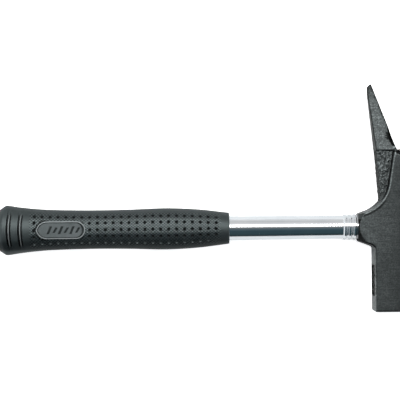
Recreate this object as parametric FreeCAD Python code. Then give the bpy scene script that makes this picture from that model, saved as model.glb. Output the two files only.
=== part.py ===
"""Brick hammer with a square striking face, a square pick, a nail claw and a tubular steel handle.

The hammer lies on its side. +X runs from the butt of the grip to the head, +Y from the striking face to
the tip of the pick, and +Z is up, through the thickness of the head. It is modelled with the handle's axis
on the X axis and the middle of the head's thickness at Z 0, and is moved at the end so that the origin is
at the centre of the underside of its bounding box, on the surface that it lies on.

Every part is symmetric about the middle plane, which is also where the two halves of the forging die meet.
All lengths are in millimetres and all angles in degrees.
"""

import FreeCAD
import Part

import math
import os

V = FreeCAD.Vector
X_AXIS, Y_AXIS, Z_AXIS = V(1, 0, 0), V(0, 1, 0), V(0, 0, 1)
ORIGIN = V(0, 0, 0)

# Head, seen from above
HEAD_HALF_DEPTH = 13.0  # from the middle plane to each ground cheek
NECK_X = 278.0  # end of the neck, where the tube comes out
NEAR_SIDE_X = 290.4  # side of the striking part that faces the handle
FAR_SIDE_X = 316.65  # side that faces away from the handle
FACE_Y = -65.0  # striking face
PICK_ROOT_Y = 58.5
PICK_TIP_Y = 109.7
HORN_TIP_Y = 80.4
NOTCH_FLOOR_Y = 59.1  # lowest point of the claw, between the pick and the horn
HORN_ROOT_X = 312.3
HORN_LEAN = 0.244  # how far the claw's horn side leans away from the handle, per millimetre of height
DRAFT_GROWTH = 1.0  # how far the forging's sides stand out at the middle plane
FACE_BEVEL = 1.5

# Pick and the thinner forged web below it
PICK_HALF_DEPTH_ROOT = 8.4
PICK_HALF_DEPTH_TIP = 1.6
WEB_HALF_DEPTH_OUTSIDE = 7.9  # at the edge that faces the handle
WEB_HALF_DEPTH_INSIDE = 6.2  # against the cheek's wall

# Neck chamfer, a cone about the handle's axis
NECK_CONE_RADIUS = 12.1
NECK_CONE_GROWTH = 0.95  # radius per millimetre along the axis

# Claw edges, scalloped so that they bite under a nail head
SCALLOP_LENGTH = 18.0
SCALLOP_DEPTH = 1.9

# Marking panel on the side that faces the handle
PANEL_Y = (-52.8, -29.2)
PANEL_HALF_HEIGHT = 8.2
PANEL_DEPTH = 1.6
PANEL_BARS = 5
PANEL_BAR = (1.5, 10.0, 0.6)  # along Y, along Z, height above the panel's floor

# Nail holder on the far side: a groove that opens at the striking face, and its magnet
GROOVE_RADIUS = 3.2
GROOVE_TOP_Y = -28.0
GROOVE_AXIS_INSET = 0.2
NAIL_HEAD_STOP = (2.4, 12.0, 4.0)  # along Y, along Z, depth
MAGNET_Y = -46.0
MAGNET_RADIUS = 3.0
MAGNET_LENGTH = 7.0

# Handle tube
TUBE_START_X = 8.0
TUBE_RADIUS_GRIP = 9.35
TUBE_RADIUS_NECK = 8.9
TUBE_WALL = 1.7
BEAD_START_X = 266.9
BEAD_RADIUS = 9.95
BEAD_VALLEY_RADIUS = 9.2
BEAD_VALLEY_WIDTH = 2.3
BEAD_FIRST_VALLEY = 3.15  # from the first bead's foot to the middle of its valley
BEAD_PITCH = 3.75
BEAD_COUNT = 3
FLARE_START_X = 306.0
FLARE_END_X = 317.0
FLARE_RADIUS = 10.1  # the tube's outside where it is belled into the eye

# Pieces inside the tube
DOWEL_X = (236.0, 302.0)
PLUG_START_X = 303.0
BUTT_PLUG_DEPTH = 18.0
BUTT_PLUG_FLANGE = 2.0
FIT = 0.02  # clearance between pieces that are driven together

# Grip: station, half height along Y, half depth along Z
GRIP_SECTIONS = (
    (-6.0, 21.1, 13.1),
    (8.5, 19.3, 12.9),
    (20.0, 17.6, 12.6),
    (36.0, 16.0, 12.3),
    (56.0, 15.2, 12.05),
    (80.0, 14.9, 11.95),
    (104.0, 15.2, 12.15),
    (133.0, 15.95, 12.6),
    (156.0, 14.75, 12.1),
    (179.6, 12.0, 11.25),
)
GRIP_END_X = GRIP_SECTIONS[-1][0]
BUTT_END = (13.8, 9.1)  # half height and half depth of the flat end
BUTT_BEVEL_GROWTH = 0.68  # per millimetre along the axis
BUTT_BEVEL_LENGTH = 14.0
GRIP_SLOTS_X = (11.9, 20.6)  # middles of the two cross slots on each side
GRIP_SLOT_WIDTH = 2.9
GRIP_SLOT_TOP_Z = 12.85  # the grip's surface where the slots are
GRIP_SLOT_DEPTH = 1.35
GRIP_SLOT_FLOOR_RADIUS = 36.0  # flatter than the grip, so that the slots run out
BADGE_X = (32.1, 69.6)
BADGE_HALF_HEIGHT = 6.7
BADGE_FLOOR_Z = 11.75
BADGE_RIM_Z = 12.45
BADGE_RIM_WIDTH = 0.95


def turned(points, base=ORIGIN, axis=X_AXIS):
    """A solid of revolution from the closed outline of (along, radius) points about the handle's axis."""
    outline = Part.makePolygon([V(x, r, 0) for x, r in points] + [V(points[0][0], points[0][1], 0)])
    return Part.Face(outline).revolve(base, axis, 360)


def box(x, y, z):
    """A box from three (low, high) pairs."""
    return Part.makeBox(x[1] - x[0], y[1] - y[0], z[1] - z[0], V(x[0], y[0], z[0]))


def side_plate(corners, x_low, x_high):
    """An outline of (y, z) points, extruded along X."""
    ring = [V(x_low, y, z) for y, z in corners]
    return Part.Face(Part.makePolygon(ring + ring[:1])).extrude(V(x_high - x_low, 0, 0))


def both_sides(shape):
    """The shape joined with its mirror image in the middle plane."""
    return shape.fuse(shape.mirror(ORIGIN, Z_AXIS))


def rounded_outline(corners, growth, z):
    """A closed wire round (x, y, radius) corners, anticlockwise, moved outwards by growth.

    Each side moves out by growth and each corner keeps its arc, so that wires of different growth have the
    same edges and can be joined by flat and conical faces."""
    count = len(corners)
    heading = []
    for i, (x, y, _) in enumerate(corners):
        following = corners[(i + 1) % count]
        heading.append(V(following[0] - x, following[1] - y, 0).normalize())
    arcs = []
    for i, (x, y, radius) in enumerate(corners):
        before, after = heading[i - 1], heading[i]
        out_before, out_after = V(before.y, -before.x, 0), V(after.y, -after.x, 0)
        outward = out_before + out_after
        corner = V(x, y, z) + outward * (growth / (1 + out_before.dot(out_after)))
        turn = math.atan2(before.cross(after).z, before.dot(after))
        if radius:
            radius += growth if turn > 0 else -growth
        reach = radius * math.tan(abs(turn) / 2)
        towards_centre = (after - before).normalize()
        dip = radius * (1 / math.cos(turn / 2) - 1)
        arcs.append((corner - before * reach, corner + towards_centre * dip, corner + after * reach))
    edges = []
    for i, (start, middle, end) in enumerate(arcs):
        if corners[i][2]:
            edges.append(Part.Arc(start, middle, end).toShape())
        edges.append(Part.makeLine(end, arcs[(i + 1) % count][0]))
    return Part.Wire(edges)


def cheek_block():
    """The forging's main block: striking part, neck and horn, with drafted sides and flat ground cheeks."""
    corners = (
        (NECK_X - 2.0, -9.3, 0),
        (NEAR_SIDE_X, -14.8, 4.0),
        (NEAR_SIDE_X, FACE_Y, 0),
        (FAR_SIDE_X, FACE_Y, 0),
        (FAR_SIDE_X, 14.0, 160.0),
        (320.4, HORN_TIP_Y - 0.6, 1.3),
        (317.4, HORN_TIP_Y, 1.2),
        (HORN_ROOT_X + 0.1, 58.4, 2.6),
        (305.6, 57.3, 1.6),
        (299.0, 16.3, 27.0),
        (NECK_X - 2.0, 8.85, 0),
    )
    levels = ((0.0, 1.0), (0.93, 0.07), (0.965, -0.35), (1.0, -1.05))  # share of depth, share of growth
    wires = [rounded_outline(corners, DRAFT_GROWTH * g, HEAD_HALF_DEPTH * d) for d, g in levels]
    return both_sides(Part.makeLoft(wires, True, True))


def notch_waste():
    """What is ground out between the pick and the horn, square to the cheeks."""
    top = HORN_TIP_Y + 5
    corners = (
        (303.0, NOTCH_FLOOR_Y, 0),
        (HORN_ROOT_X, NOTCH_FLOOR_Y, 1.8),
        (HORN_ROOT_X + HORN_LEAN * (top - NOTCH_FLOOR_Y), top, 0),
        (303.0, top, 0),
    )
    outline = rounded_outline(corners, 0, -HEAD_HALF_DEPTH - 1)
    return Part.Face(outline).extrude(V(0, 0, 2 * HEAD_HALF_DEPTH + 2))


def pick():
    """The square pick, thinner towards its tip, which is cut off at a slant."""
    corners = (
        (310.1, 54.0, 0),
        (289.9, PICK_TIP_Y - 0.4, 0.5),
        (288.9, PICK_TIP_Y, 0.4),
        (286.65, PICK_TIP_Y - 2.3, 0.8),
        (286.65, 102.0, 25.0),
        (292.2, PICK_ROOT_Y, 0),
        (306.8, PICK_ROOT_Y, 0),
        (306.8, 54.0, 0),
    )
    outline = rounded_outline(corners, 0, -HEAD_HALF_DEPTH)
    blank = Part.Face(outline).extrude(V(0, 0, 2 * HEAD_HALF_DEPTH))
    slope = (PICK_HALF_DEPTH_ROOT - PICK_HALF_DEPTH_TIP) / (PICK_TIP_Y - PICK_ROOT_Y)
    low_y, high_y = PICK_ROOT_Y - 8, PICK_TIP_Y + 8
    low = PICK_HALF_DEPTH_ROOT + 8 * slope
    high = PICK_HALF_DEPTH_TIP - 8 * slope
    taper = side_plate(((low_y, -low), (high_y, -high), (high_y, high), (low_y, low)), 280, 315)
    return blank.common(taper)


def web():
    """The thinner, as-forged web between the pick and the neck. Its flats slope down towards the cheek."""
    corners = (
        (284.0, 10.3, 0),
        (310.0, 10.3, 0),
        (310.0, PICK_ROOT_Y + 0.6, 0),
        (292.2, PICK_ROOT_Y + 0.6, 0),
        (295.6, 17.0, 8.0),
    )
    blank = Part.Face(rounded_outline(corners, 0, -HEAD_HALF_DEPTH)).extrude(V(0, 0, 2 * HEAD_HALF_DEPTH))
    left, right = 280.0, 312.0
    slope = (WEB_HALF_DEPTH_OUTSIDE - WEB_HALF_DEPTH_INSIDE) / 14.0
    left_z = WEB_HALF_DEPTH_OUTSIDE + slope * (292.2 - left)
    right_z = WEB_HALF_DEPTH_OUTSIDE - slope * (right - 292.2)
    ring = [V(left, 0, -left_z), V(right, 0, -right_z), V(right, 0, right_z), V(left, 0, left_z)]
    flats = Part.Face(Part.makePolygon(ring + ring[:1])).extrude(V(0, 70, 0))
    return blank.common(flats)


def scallop(start, end, outward):
    """A cylinder that cuts a shallow scoop along the edge from start to end."""
    along = (end - start).normalize()
    radius = (SCALLOP_LENGTH**2 / 4 + SCALLOP_DEPTH**2) / (2 * SCALLOP_DEPTH)
    axis = along.cross(outward).normalize()
    middle = (start + end) * 0.5
    centre = middle + outward.normalize() * (radius - SCALLOP_DEPTH)
    width = 9.0
    return Part.makeCylinder(radius, width, centre - axis * (width / 2), axis)


def claw_scallops():
    """The four scoops that sharpen the claw: on the pick's and the horn's facing edges, top and underside."""
    pick_edge = scallop(V(308.0, 60.2, 8.0), V(301.6, 77.0, 6.0), V(0.94, 0.34, 1.0))
    horn_edge = scallop(V(312.9, 60.6, 12.9), V(317.0, 77.6, 9.0), V(-0.97, 0.25, 1.0))
    return [both_sides(pick_edge), both_sides(horn_edge)]


def neck_cone_waste():
    """What a cone about the handle's axis turns off the neck."""
    low, high = NECK_X - 6.0, NEAR_SIDE_X - 0.65
    half_height = 18.0
    blank = box((low, high), (-half_height, half_height), (-20.0, 20.0))
    low_radius = NECK_CONE_RADIUS + (low - NECK_X) * NECK_CONE_GROWTH
    high_radius = NECK_CONE_RADIUS + (high - NECK_X) * NECK_CONE_GROWTH
    cone = Part.makeCone(low_radius, high_radius, high - low, V(low, 0, 0), X_AXIS)
    return blank.cut(cone)


def striking_face_envelope():
    """Everything that is left of the head when the striking face's four edges are bevelled."""
    left, right = NEAR_SIDE_X - DRAFT_GROWTH, FAR_SIDE_X + DRAFT_GROWTH
    margin = 2.0
    face = (left + FACE_BEVEL, right - FACE_BEVEL, HEAD_HALF_DEPTH - FACE_BEVEL, FACE_Y)
    above = (left - margin, right + margin, HEAD_HALF_DEPTH + margin, FACE_Y + FACE_BEVEL + margin)
    rings = []
    for x_low, x_high, half, y in (face, above):
        ring = [V(x_low, y, -half), V(x_high, y, -half), V(x_high, y, half), V(x_low, y, half)]
        rings.append(Part.makePolygon(ring + ring[:1]))
    rest = box((250, 350), (FACE_Y + FACE_BEVEL + margin, 130), (-30, 30))
    return Part.makeLoft(rings, True, True).fuse(rest)


def horn_taper_waste():
    """What is taken off the horn's cheeks, so that it is thinner at its tip."""
    start_y, end_y = PICK_ROOT_Y + 1.5, HORN_TIP_Y + 5
    tip_half = 7.6
    corners = ((start_y, HEAD_HALF_DEPTH), (end_y, tip_half), (end_y, 20), (start_y, 20))
    return both_sides(side_plate(corners, 308.5, 330))


def eye_hole():
    """The hole for the tube, belled at the far side of the head."""
    r = TUBE_RADIUS_NECK + FIT
    return turned(
        (
            (NECK_X - 5, 0),
            (NECK_X - 5, r),
            (FLARE_START_X, r),
            (FLARE_END_X, FLARE_RADIUS + FIT),
            (FLARE_END_X + 6, FLARE_RADIUS + FIT),
            (FLARE_END_X + 6, 0),
        )
    )


def marking_panel():
    """The sunk panel and the plain bars that stand on its floor. Returns (waste, bars)."""
    ridge_x = NEAR_SIDE_X - DRAFT_GROWTH
    floor_x = ridge_x + PANEL_DEPTH
    waste = box((ridge_x - 3, floor_x), PANEL_Y, (-PANEL_HALF_HEIGHT, PANEL_HALF_HEIGHT))
    along, across, height = PANEL_BAR
    pitch = (PANEL_Y[1] - PANEL_Y[0]) / (PANEL_BARS + 1)
    bars = []
    for i in range(PANEL_BARS):
        y = PANEL_Y[0] + pitch * (i + 1)
        half = across / 2 if i % 2 == 0 else across / 3
        bars.append(box((floor_x - height, floor_x + 1), (y - along / 2, y + along / 2), (-half, half)))
    return waste, bars


def nail_groove():
    """The groove that holds a nail against the magnet, with a stop for the nail's head."""
    ridge_x = FAR_SIDE_X + DRAFT_GROWTH
    axis_x = ridge_x - GROOVE_AXIS_INSET
    start = V(axis_x, FACE_Y - 2, 0)
    groove = Part.makeCylinder(GROOVE_RADIUS, GROOVE_TOP_Y - FACE_Y + 2, start, Y_AXIS)
    along, across, depth = NAIL_HEAD_STOP
    stop = box((ridge_x - depth, ridge_x + 3), (GROOVE_TOP_Y - along, GROOVE_TOP_Y), (-across / 2, across / 2))
    return groove.fuse(stop)


def magnet_top_x():
    return FAR_SIDE_X + DRAFT_GROWTH - GROOVE_AXIS_INSET - GROOVE_RADIUS


def magnet():
    return Part.makeCylinder(MAGNET_RADIUS, MAGNET_LENGTH, V(magnet_top_x() - MAGNET_LENGTH, MAGNET_Y, 0), X_AXIS)


def magnet_hole():
    """The magnet's blind hole, which also clears the groove's floor above the magnet."""
    start = V(magnet_top_x() - MAGNET_LENGTH - FIT, MAGNET_Y, 0)
    return Part.makeCylinder(MAGNET_RADIUS + FIT, MAGNET_LENGTH + 3, start, X_AXIS)


def head():
    panel_waste, panel_bars = marking_panel()
    forging = cheek_block().cut(notch_waste()).fuse([web(), pick()])
    forging = forging.cut([box((260, NECK_X), (-40, 40), (-40, 40)), neck_cone_waste(), horn_taper_waste()])
    forging = forging.common(striking_face_envelope())
    forging = forging.cut([eye_hole(), nail_groove(), magnet_hole(), panel_waste] + claw_scallops())
    return forging.fuse(panel_bars).removeSplitter()


def bead_profile():
    """The rolled beads beside the neck, as (x, radius) points: flat-topped rings with round valleys.

    The neck covers the last valley's second half."""
    crest, valley = BEAD_RADIUS, BEAD_VALLEY_RADIUS
    points = [(BEAD_START_X, TUBE_RADIUS_NECK), (BEAD_START_X + 0.45, crest - 0.35), (BEAD_START_X + 0.95, crest)]
    steps = 8
    for i in range(BEAD_COUNT):
        middle = BEAD_START_X + BEAD_FIRST_VALLEY + i * BEAD_PITCH
        last_step = steps // 2 if i == BEAD_COUNT - 1 else steps
        for k in range(last_step + 1):
            angle = math.pi * k / steps
            x = middle - BEAD_VALLEY_WIDTH / 2 * math.cos(angle)
            points.append((x, crest - (crest - valley) * math.sin(angle)))
    return points


def handle_tube():
    """Chromed steel tube: slightly tapered, beaded against the neck and belled out at the far side."""
    outside = [(TUBE_START_X, TUBE_RADIUS_GRIP), (GRIP_END_X, TUBE_RADIUS_GRIP)]
    outside += bead_profile()
    outside += [(NECK_X - FIT, BEAD_VALLEY_RADIUS), (NECK_X - FIT, TUBE_RADIUS_NECK)]
    outside += [(FLARE_START_X, TUBE_RADIUS_NECK), (FLARE_END_X, FLARE_RADIUS)]
    bore = TUBE_RADIUS_NECK - TUBE_WALL
    inside = [(FLARE_END_X, FLARE_RADIUS - TUBE_WALL), (FLARE_START_X, bore), (TUBE_START_X, bore)]
    return turned(outside + inside)


def expander_plug():
    """Steel cone, driven into the tube's end to bell it out in the eye."""
    bore = TUBE_RADIUS_NECK - TUBE_WALL - FIT
    belled = FLARE_RADIUS - TUBE_WALL - FIT
    lead = 1.0
    end = FLARE_END_X - 0.4
    share = (end - FLARE_START_X) / (FLARE_END_X - FLARE_START_X)
    end_radius = bore + (belled - bore) * share
    return turned(
        (
            (PLUG_START_X, 0),
            (PLUG_START_X, bore - lead),
            (PLUG_START_X + lead, bore),
            (FLARE_START_X, bore),
            (end - 0.5, end_radius - 0.06),
            (end, end_radius - 0.6),
            (end, 0),
        )
    )


def damping_dowel():
    """Hardwood dowel that fills the tube through the neck and the beads."""
    bore = TUBE_RADIUS_NECK - TUBE_WALL - FIT
    low, high = DOWEL_X
    lead = 1.5
    return turned(((low, 0), (low, bore - lead), (low + lead, bore), (high - 0.5, bore), (high, bore - 0.5), (high, 0)))


def butt_plug():
    """Plastic plug that closes the tube's lower end, with a flange and three barbs."""
    bore = TUBE_RADIUS_NECK - TUBE_WALL - FIT
    flange_x = TUBE_START_X - BUTT_PLUG_FLANGE
    core = bore - 0.8
    points = [(flange_x, 0), (flange_x, TUBE_RADIUS_GRIP - 0.3), (TUBE_START_X - FIT, TUBE_RADIUS_GRIP - 0.3)]
    points.append((TUBE_START_X - FIT, core))
    barbs = 3
    pitch = BUTT_PLUG_DEPTH / (barbs + 1)
    for i in range(barbs):
        x = TUBE_START_X + pitch * (i + 0.6)
        points += [(x, core), (x, bore), (x + pitch * 0.7, core)]
    points += [(TUBE_START_X + BUTT_PLUG_DEPTH, core - 1.5), (TUBE_START_X + BUTT_PLUG_DEPTH, 0)]
    return turned(points)


def ellipse_wire(x, half_height, half_depth):
    """An ellipse across the handle. The larger half axis comes first, as FreeCAD asks."""
    curve = Part.Ellipse(V(x, half_height, 0), V(x, 0, half_depth), V(x, 0, 0))
    return Part.Wire(curve.toShape())


def stadium(inset, z_low, z_high):
    """The badge's outline, moved inwards by inset and extruded. Its butt end is more pointed."""
    low, high = BADGE_X[0] + inset * 1.2, BADGE_X[1] - inset
    half = BADGE_HALF_HEIGHT - inset
    round_start = high - half
    point_start = low + half * 1.25
    bulge_x, bulge_y = low + half * 0.34, half * 0.62
    edges = [
        Part.makeLine(V(point_start, -half, z_low), V(round_start, -half, z_low)),
        Part.Arc(V(round_start, -half, z_low), V(high, 0, z_low), V(round_start, half, z_low)).toShape(),
        Part.makeLine(V(round_start, half, z_low), V(point_start, half, z_low)),
        Part.Arc(V(point_start, half, z_low), V(bulge_x, bulge_y, z_low), V(low, 0, z_low)).toShape(),
        Part.Arc(V(low, 0, z_low), V(bulge_x, -bulge_y, z_low), V(point_start, -half, z_low)).toShape(),
    ]
    return Part.Face(Part.Wire(edges)).extrude(V(0, 0, z_high - z_low))


def slot_waste(x):
    """A cross slot whose floor curves less than the grip, so that it runs out on both flanks."""
    floor = GRIP_SLOT_TOP_Z - GRIP_SLOT_DEPTH
    half, flare, height = GRIP_SLOT_WIDTH / 2, 0.45, 5.0
    ring = [
        V(x - half + flare, 0, floor),
        V(x + half - flare, 0, floor),
        V(x + half + flare, 0, floor + height),
        V(x - half - flare, 0, floor + height),
    ]
    centre = V(0, 0, floor - GRIP_SLOT_FLOOR_RADIUS)
    return both_sides(Part.Face(Part.makePolygon(ring + ring[:1])).revolve(centre, X_AXIS, 360))


def grip():
    """Moulded rubber grip, blind at the butt, with two cross slots and a flat badge on each side."""
    body = Part.makeLoft([ellipse_wire(*s) for s in GRIP_SECTIONS], True, False)
    wide = [half + BUTT_BEVEL_GROWTH * BUTT_BEVEL_LENGTH for half in BUTT_END]
    cone = Part.makeLoft([ellipse_wire(0, *BUTT_END), ellipse_wire(BUTT_BEVEL_LENGTH, *wide)], True, True)
    cone = cone.fuse(box((BUTT_BEVEL_LENGTH, 200), (-40, 40), (-40, 40)))
    body = body.common(cone)
    pad = both_sides(stadium(0, 6.0, BADGE_RIM_Z))
    above_pad = both_sides(stadium(0, BADGE_RIM_Z, 20.0))
    above_floor = both_sides(stadium(BADGE_RIM_WIDTH, BADGE_FLOOR_Z, 20.0))
    body = body.fuse(pad).cut([above_pad, above_floor] + [slot_waste(x) for x in GRIP_SLOTS_X])
    tube_room = Part.makeCylinder(
        TUBE_RADIUS_GRIP + FIT, GRIP_END_X - TUBE_START_X + 2, V(TUBE_START_X - FIT, 0, 0), X_AXIS
    )
    flange_room = Part.makeCylinder(
        TUBE_RADIUS_GRIP + FIT, BUTT_PLUG_FLANGE + 1, V(TUBE_START_X - BUTT_PLUG_FLANGE - FIT, 0, 0), X_AXIS
    )
    return body.cut([tube_room, flange_room])


def main():
    parts = {
        "head": head(),
        "nail_magnet": magnet(),
        "handle_tube": handle_tube(),
        "expander_plug": expander_plug(),
        "damping_dowel": damping_dowel(),
        "butt_plug": butt_plug(),
        "grip": grip(),
    }
    whole = Part.makeCompound(list(parts.values())).optimalBoundingBox(True, False)
    to_origin = V(-(whole.XMin + whole.XMax) / 2, -(whole.YMin + whole.YMax) / 2, -whole.ZMin)
    size = [round(v, 3) for v in (whole.XLength, whole.YLength, whole.ZLength)]
    print("origin moved by", [round(v, 4) for v in to_origin], "size", size)
    os.makedirs("parts", exist_ok=True)
    for name, shape in parts.items():
        solid = shape.Solids[0].translated(to_origin)
        print(name, len(shape.Solids), "solid, valid", solid.isValid(), "cm3", round(solid.Volume / 1000, 2))
        solid.exportStep(os.path.join("parts", name + ".step"))


main()
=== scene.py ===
"""Looks of a brick hammer that lies on its side: forged head, chromed tube and moulded rubber grip.

Shapes are written in millimetres in the handle's own coordinates: X from the butt of the grip towards the
head, Y from the handle's axis towards the pick's tip, Z from the middle plane upwards. place() takes them to
the frame of the CAD model, whose boxes say where the butt and the axis are.
"""

import math

import bmesh
import bpy
import numpy as np
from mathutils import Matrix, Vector, noise


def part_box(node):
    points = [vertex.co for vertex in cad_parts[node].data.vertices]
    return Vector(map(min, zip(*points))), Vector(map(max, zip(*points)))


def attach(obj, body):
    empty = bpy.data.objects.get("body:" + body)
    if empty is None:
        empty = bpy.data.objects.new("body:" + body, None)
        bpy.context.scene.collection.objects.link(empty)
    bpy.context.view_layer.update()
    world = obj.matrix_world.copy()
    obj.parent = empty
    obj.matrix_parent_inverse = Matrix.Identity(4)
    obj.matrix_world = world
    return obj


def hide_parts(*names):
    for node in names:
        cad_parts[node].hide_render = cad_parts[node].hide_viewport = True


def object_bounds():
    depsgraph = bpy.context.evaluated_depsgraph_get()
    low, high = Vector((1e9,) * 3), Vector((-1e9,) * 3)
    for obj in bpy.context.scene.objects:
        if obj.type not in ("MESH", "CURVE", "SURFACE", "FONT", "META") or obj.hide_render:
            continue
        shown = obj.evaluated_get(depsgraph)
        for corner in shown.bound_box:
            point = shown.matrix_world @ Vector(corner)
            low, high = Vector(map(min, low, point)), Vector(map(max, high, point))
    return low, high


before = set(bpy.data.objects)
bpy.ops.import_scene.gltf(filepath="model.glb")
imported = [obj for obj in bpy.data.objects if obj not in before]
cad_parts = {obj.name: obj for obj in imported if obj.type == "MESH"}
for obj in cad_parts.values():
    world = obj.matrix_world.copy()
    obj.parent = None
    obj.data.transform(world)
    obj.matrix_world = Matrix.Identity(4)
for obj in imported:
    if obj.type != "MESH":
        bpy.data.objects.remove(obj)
CAD_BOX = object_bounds()

MM = 0.001
GRIP_LOW, GRIP_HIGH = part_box("grip")
TUBE_LOW, TUBE_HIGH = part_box("handle_tube")
BUTT = Vector((GRIP_LOW.x, (TUBE_LOW.y + TUBE_HIGH.y) / 2, (TUBE_LOW.z + TUBE_HIGH.z) / 2))

# Grip: station, half height along Y, half depth along Z
GRIP_SECTIONS = (
    (-6.0, 21.1, 13.1),
    (8.5, 19.3, 12.9),
    (20.0, 17.6, 12.6),
    (36.0, 16.0, 12.3),
    (56.0, 15.2, 12.05),
    (80.0, 14.9, 11.95),
    (104.0, 15.2, 12.15),
    (133.0, 15.95, 12.6),
    (156.0, 14.75, 12.1),
    (179.6, 12.0, 11.25),
)
GRIP_LENGTH = GRIP_SECTIONS[-1][0]
GRIP_CORNER = 0.9  # radius of the corner at each end
BUTT_END = (13.8, 9.1)
BUTT_BEVEL_GROWTH = 0.68
BUTT_BEVEL_BLEND = 0.9
BORE_RADIUS = 9.37
BORE_START = 6.0

# Cross slots near the butt: each is two grooves with a low rib between them, cut across the grip
SLOTS_X = (11.9, 20.6)
SLOT_FLOOR_RADIUS = 36.0
SLOT_BOW = 0.9
SLOT_GROOVES = ((-0.98, 0.52, 2.2), (0.0, 1.4, 0.42), (1.22, 0.36, 1.8))  # middle, half width, depth
SLOT_WALL = 0.22

# Dimples: 24 columns of five on the front and on the back
DIMPLE_COLUMNS = 24
DIMPLE_FIRST_X = 30.7
DIMPLE_PITCH = 6.03
DIMPLE_ROW_ANGLE = math.radians(20.2)
DIMPLE_ROWS = (-2, -1, 0, 1, 2)
DIMPLE_RADIUS = 1.3
DIMPLE_DEPTH = 1.0
SHOULDER_DEPTH = 0.12  # of the shallow dish round each dimple
GRIP_ARC = 14.4  # millimetres of surface for each radian round the grip
HATCH_PITCH = 2.5 * MM  # along the handle
CELL_STEPS = 6  # edges along each side of a cell
FLANK_STEPS = 16  # edges from the last row of one face to the last row of the other
BADGE_COLUMNS = range(1, 7)

# Badge
BADGE_X = (32.1, 69.6)
BADGE_HALF_HEIGHT = 6.7
BADGE_RIM_Z = 12.45
BADGE_FLOOR_Z = 11.55
BADGE_PLATE_Z = 12.05
BAR_DEPTH = 0.5
BADGE_RIM_WIDTH = 0.8
DITCH_WIDTH = 1.15

# Tube and its beads
TUBE_START = 8.0
TUBE_RADIUS_GRIP = 9.35
TUBE_RADIUS_NECK = 8.9
TUBE_WALL = 1.7
NECK_X = 278.0
BEAD_START = 266.9
BEAD_RADIUS = 9.95
BEAD_VALLEY_RADIUS = 9.2
BEAD_FIRST_VALLEY = 3.15
BEAD_VALLEY_WIDTH = 2.3
BEAD_PITCH = 3.75
BEAD_COUNT = 3
FLARE_START = 306.0
FLARE_END = 317.0
FLARE_RADIUS = 10.1

HEAD_VOXEL = 0.49 * MM
PANEL_Y = (-52.8, -29.2)  # marking panel on the side that faces the handle
PANEL_HALF_HEIGHT = 8.2
LIGHT_SPOT = (306.3, 60.9)  # a small lighter spot on the lacquer beside the pick's root
NECK_FILLET = (275.0, 36.9, 28.05)  # centre and radius of the cheek's edge between neck and web

KEY_BRIGHTNESS = 12.0


def place(points):
    """Millimetres in the handle's coordinates to metres in the CAD model's frame."""
    return np.asarray(points, float) * MM + np.array(BUTT)


def smooth_step(low, high, value):
    t = np.clip((np.asarray(value, float) - low) / (high - low), 0, 1)
    return t * t * (3 - 2 * t)


def soft_min(a, b, blend):
    """The smaller of a and b, with their corner rounded over about blend."""
    h = np.clip(0.5 + 0.5 * (b - a) / blend, 0, 1)
    return b * (1 - h) + a * h - blend * h * (1 - h)


def through(stations, values, x):
    """A smooth curve through the values: cubic pieces with central slopes."""
    s, v = np.asarray(stations, float), np.asarray(values, float)
    slope = np.gradient(v, s)
    i = np.clip(np.searchsorted(s, x) - 1, 0, len(s) - 2)
    width = s[i + 1] - s[i]
    t = (x - s[i]) / width
    return (
        v[i] * (1 + 2 * t) * (1 - t) ** 2
        + v[i + 1] * t * t * (3 - 2 * t)
        + width * (slope[i] * t * (1 - t) ** 2 - slope[i + 1] * t * t * (1 - t))
    )


def new_object(name, points, faces, smooth_angle=math.radians(40)):
    """A mesh piece from points in the handle's coordinates, with its faces turned outwards."""
    mesh = bpy.data.meshes.new(name)
    mesh.from_pydata([tuple(p) for p in place(points)], [], faces)
    mesh.update()
    obj = bpy.data.objects.new(name, mesh)
    bpy.context.scene.collection.objects.link(obj)
    tidy_mesh(obj, smooth_angle)
    return obj


def tidy_mesh(obj, smooth_angle):
    """Joins doubled points, turns the faces outwards and marks edges sharper than the angle."""
    bm = bmesh.new()
    bm.from_mesh(obj.data)
    bmesh.ops.remove_doubles(bm, verts=bm.verts, dist=1e-6)
    bmesh.ops.recalc_face_normals(bm, faces=bm.faces)
    for face in bm.faces:
        face.smooth = True
    for edge in bm.edges:
        edge.smooth = len(edge.link_faces) != 2 or edge.calc_face_angle(0) < smooth_angle
    bm.to_mesh(obj.data)
    bm.free()


def with_modifiers(obj):
    """Replaces the object's mesh by what its modifiers make of it."""
    bpy.context.view_layer.update()
    graph = bpy.context.evaluated_depsgraph_get()
    mesh = bpy.data.meshes.new_from_object(obj.evaluated_get(graph))
    obj.modifiers.clear()
    obj.data = mesh


def boolean(obj, tool, operation):
    """Cuts or joins the tool, which is then deleted."""
    modifier = obj.modifiers.new(operation, "BOOLEAN")
    modifier.operation = operation
    modifier.solver = "EXACT"
    modifier.object = tool
    with_modifiers(obj)
    bpy.data.objects.remove(tool)


# ---------------------------------------------------------------- grip


def grip_radii(x):
    """Half the bare grip's height along Y and half its depth along Z, at x."""
    stations, heights, depths = zip(*GRIP_SECTIONS)
    return through(stations, heights, x), through(stations, depths, x)


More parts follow.
